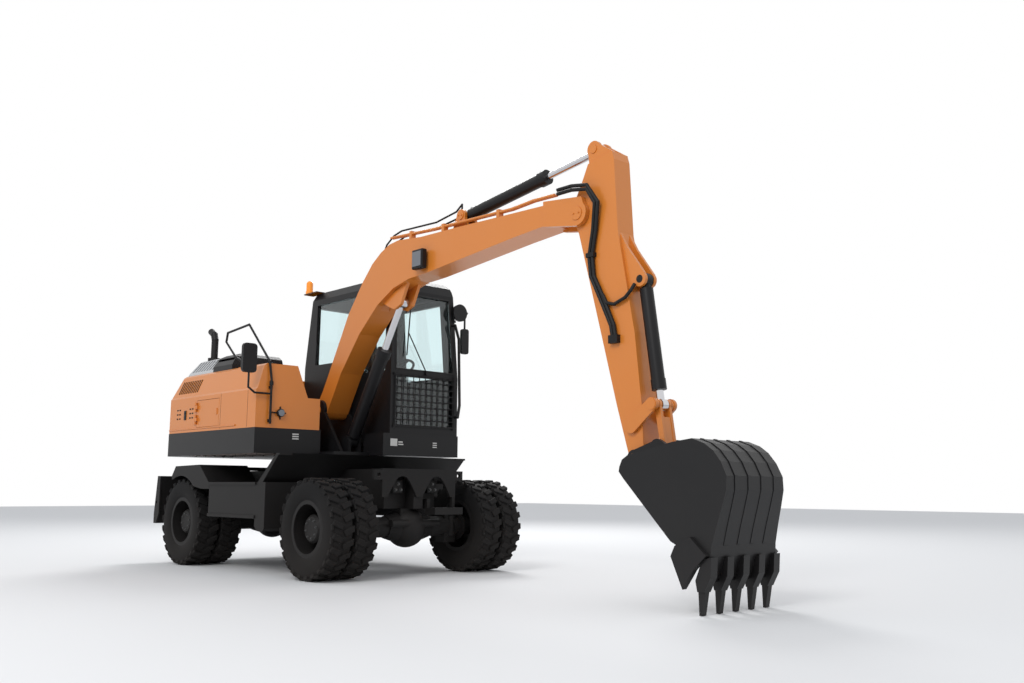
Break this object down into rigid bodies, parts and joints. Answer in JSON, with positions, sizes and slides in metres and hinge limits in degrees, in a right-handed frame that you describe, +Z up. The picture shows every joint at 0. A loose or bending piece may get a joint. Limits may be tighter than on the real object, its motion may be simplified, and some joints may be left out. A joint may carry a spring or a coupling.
{
  "type": "wheeled excavator",
  "caption": "Road-going excavator: carrier on twin-tyred wheels with dozer blade, slewing upper structure, cab, gooseneck boom, arm and bucket moved by cylinders.",
  "frame": {"origin": "on the ground under the middle of the parked machine's bounding box", "axes": "+X forward towards the bucket, +Y to the machine's left, +Z up"},
  "size_m": [7.8, 2.8, 4],
  "materials": {
    "orange_paint": "semi-gloss",
    "black_paint": "satin",
    "silver_paint": "satin",
    "rod_chrome": "polished",
    "tinted_glass": "clear",
    "tyre_rubber": "matt",
    "hose_rubber": "satin",
    "engine_grey": "painted",
    "cab_trim": "matt",
    "amber_lens": "clear"
  },
  "bodies": {
    "undercarriage": {"chassis": "black_paint", "slew_bearing": "black_paint", "front_axle": "black_paint", "rear_axle": "black_paint", "driveline": "black_paint", "fenders": "black_paint", "side_boxes": "black_paint"},
    "blade_arms": {"blade_arms": "black_paint"},
    "blade_links": {"blade_links": "black_paint"},
    "blade": {"blade": "black_paint"},
    "blade_barrels": {"blade_barrels": "black_paint"},
    "blade_rods": {"blade_rods": "rod_chrome"},
    "knuckle_left": {"knuckle_left": "black_paint"},
    "knuckle_right": {"knuckle_right": "black_paint"},
    "wheels_front_left": {"rims_front_left": "black_paint", "tyres_front_left": "tyre_rubber"},
    "wheels_front_right": {"rims_front_right": "black_paint", "tyres_front_right": "tyre_rubber"},
    "wheels_rear_left": {"rims_rear_left": "black_paint", "tyres_rear_left": "tyre_rubber"},
    "wheels_rear_right": {"rims_rear_right": "black_paint", "tyres_rear_right": "tyre_rubber"},
    "upperstructure": {"deck": "black_paint", "counterweight": "black_paint", "hood": "orange_paint", "tank_housing": "orange_paint", "engine": "engine_grey", "exhaust": "black_paint", "roof_grille": "silver_paint", "handrails": "black_paint", "cab_shell": "black_paint", "cab_glass": "tinted_glass", "cab_interior": "cab_trim", "window_guard": "black_paint", "cab_mirrors": "black_paint", "beacon": "amber_lens"},
    "engine_lid": {"engine_lid": "black_paint"},
    "side_door": {"side_door": "orange_paint"},
    "cab_door": {"cab_door": "black_paint", "door_glass": "tinted_glass"},
    "boom": {"boom": "orange_paint", "boom_pipes": "orange_paint", "boom_hoses": "hose_rubber"},
    "boom_barrel": {"boom_barrel": "black_paint"},
    "boom_rod": {"boom_rod": "rod_chrome"},
    "arm_barrel": {"arm_barrel": "black_paint"},
    "arm_rod": {"arm_rod": "rod_chrome"},
    "arm": {"arm": "orange_paint", "hoses": "hose_rubber"},
    "bucket_barrel": {"bucket_barrel": "black_paint"},
    "bucket_rod": {"bucket_rod": "rod_chrome"},
    "guide_links": {"guide_links": "orange_paint"},
    "bucket_link": {"bucket_link": "orange_paint"},
    "bucket": {"bucket": "black_paint"}
  },
  "joints": [
    {"name": "swing", "type": "hinge", "parent": "undercarriage", "child": "upperstructure", "pos_m": [-1.764, 0, 1.25], "axis": [0, 0, 1], "continuous": true},
    {"name": "steer_left", "type": "hinge", "parent": "undercarriage", "child": "knuckle_left", "pos_m": [-0.414, 0.6, 0.5], "axis": [0, 0, 1], "range_deg": [-27, 27]},
    {"name": "steer_right", "type": "hinge", "parent": "undercarriage", "child": "knuckle_right", "pos_m": [-0.414, -0.6, 0.5], "axis": [0, 0, 1], "range_deg": [-27, 27]},
    {"name": "roll_front_left", "type": "hinge", "parent": "knuckle_left", "child": "wheels_front_left", "pos_m": [-0.414, 0.95, 0.5], "axis": [0, 1, 0], "continuous": true},
    {"name": "roll_front_right", "type": "hinge", "parent": "knuckle_right", "child": "wheels_front_right", "pos_m": [-0.414, -0.95, 0.5], "axis": [0, 1, 0], "continuous": true},
    {"name": "roll_rear_left", "type": "hinge", "parent": "undercarriage", "child": "wheels_rear_left", "pos_m": [-3.164, 0.95, 0.5], "axis": [0, 1, 0], "continuous": true},
    {"name": "roll_rear_right", "type": "hinge", "parent": "undercarriage", "child": "wheels_rear_right", "pos_m": [-3.164, -0.95, 0.5], "axis": [0, 1, 0], "continuous": true},
    {"name": "blade_raise", "type": "hinge", "parent": "undercarriage", "child": "blade_arms", "pos_m": [-3.364, 0, 0.51], "axis": [0, -1, 0], "range_deg": [0, 77]},
    {"name": "blade_link", "type": "hinge", "parent": "undercarriage", "child": "blade_links", "pos_m": [-3.364, 0, 0.75], "axis": [0, -1, 0], "range_deg": [0, 77]},
    {"name": "blade_tilt", "type": "hinge", "parent": "blade_arms", "child": "blade", "pos_m": [-3.72197, 0, 0.76065], "axis": [0, -1, 0], "range_deg": [-77, 0]},
    {"name": "blade_cylinder_swing", "type": "hinge", "parent": "undercarriage", "child": "blade_barrels", "pos_m": [-3.354, 0, 1.05], "axis": [0, -1, 0], "range_deg": [0, 8]},
    {"name": "blade_cylinder_stroke", "type": "slide", "parent": "blade_barrels", "child": "blade_rods", "axis": [-0.3718, 0, -0.9283], "range_m": [0, 0.25]},
    {"name": "boom_raise", "type": "hinge", "parent": "upperstructure", "child": "boom", "pos_m": [-1.884, 0, 1.8], "axis": [0, -1, 0], "range_deg": [-50, 35]},
    {"name": "boom_cylinder_swing", "type": "hinge", "parent": "upperstructure", "child": "boom_barrel", "pos_m": [-1.464, 0, 1.42], "axis": [0, -1, 0], "range_deg": [-49, 34.5]},
    {"name": "boom_cylinder_stroke", "type": "slide", "parent": "boom_barrel", "child": "boom_rod", "axis": [0.5111, 0, 0.8595], "range_m": [-0.434, 0.304]},
    {"name": "arm_swing", "type": "hinge", "parent": "boom", "child": "arm", "pos_m": [2.221, 0, 3.345], "axis": [0, 1, 0], "range_deg": [-50, 40]},
    {"name": "arm_cylinder_swing", "type": "hinge", "parent": "boom", "child": "arm_barrel", "pos_m": [0.522, 0, 3.68], "axis": [0, 1, 0], "range_deg": [-5, 4]},
    {"name": "arm_cylinder_stroke", "type": "slide", "parent": "arm_barrel", "child": "arm_rod", "axis": [0.9913, 0, 0.1318], "range_m": [-0.468, 0.375]},
    {"name": "bucket_curl", "type": "hinge", "parent": "arm", "child": "bucket", "pos_m": [2.846, 0, 1.15], "axis": [0, 1, 0], "range_deg": [-8, 112]},
    {"name": "guide_link", "type": "hinge", "parent": "arm", "child": "guide_links", "pos_m": [2.806, 0, 1.42], "axis": [0, 1, 0], "range_deg": [-7, 92]},
    {"name": "bucket_link", "type": "hinge", "parent": "guide_links", "child": "bucket_link", "pos_m": [3.021, 0, 1.59], "axis": [0, 1, 0], "range_deg": [-61, 5]},
    {"name": "bucket_cylinder_swing", "type": "hinge", "parent": "arm", "child": "bucket_barrel", "pos_m": [2.868, 0, 2.66], "axis": [0, 1, 0], "range_deg": [-0.5, 2.5]},
    {"name": "bucket_cylinder_stroke", "type": "slide", "parent": "bucket_barrel", "child": "bucket_rod", "axis": [0.1416, 0, -0.9899], "range_m": [-0.03, 0.41]},
    {"name": "cab_door", "type": "hinge", "parent": "upperstructure", "child": "cab_door", "pos_m": [-1.114, 1.196, 1.6], "axis": [0, 0, -1], "range_deg": [0, 85]},
    {"name": "side_door", "type": "hinge", "parent": "upperstructure", "child": "side_door", "pos_m": [-2.92, -1.214, 1.7], "axis": [0, 0, -1], "range_deg": [0, 85]},
    {"name": "engine_lid", "type": "hinge", "parent": "upperstructure", "child": "engine_lid", "pos_m": [-2.32, -0.7, 2.256], "axis": [0, 1, 0], "range_deg": [0, 60]}
  ],
  "couplings": [
    {"joint": "steer_right", "follows": "steer_left", "ratio": 1},
    {"joint": "blade_link", "follows": "blade_raise", "ratio": 1},
    {"joint": "blade_tilt", "follows": "blade_raise", "ratio": -1},
    {"joint": "blade_cylinder_swing", "follows": "blade_raise", "ratio": 0.095},
    {"joint": "blade_cylinder_stroke", "follows": "blade_raise", "m_per_rad": 0.17787},
    {"joint": "boom_cylinder_swing", "follows": "boom_raise", "ratio": 0.98},
    {"joint": "boom_cylinder_stroke", "follows": "boom_raise", "m_per_rad": 0.49581},
    {"joint": "arm_cylinder_swing", "follows": "arm_swing", "ratio": 0.09},
    {"joint": "arm_cylinder_stroke", "follows": "arm_swing", "m_per_rad": 0.53472},
    {"joint": "guide_link", "follows": "bucket_curl", "ratio": 0.815},
    {"joint": "bucket_link", "follows": "bucket_curl", "ratio": -0.54},
    {"joint": "bucket_cylinder_swing", "follows": "bucket_curl", "ratio": 0.02},
    {"joint": "bucket_cylinder_stroke", "follows": "bucket_curl", "m_per_rad": 0.206}
  ]
}
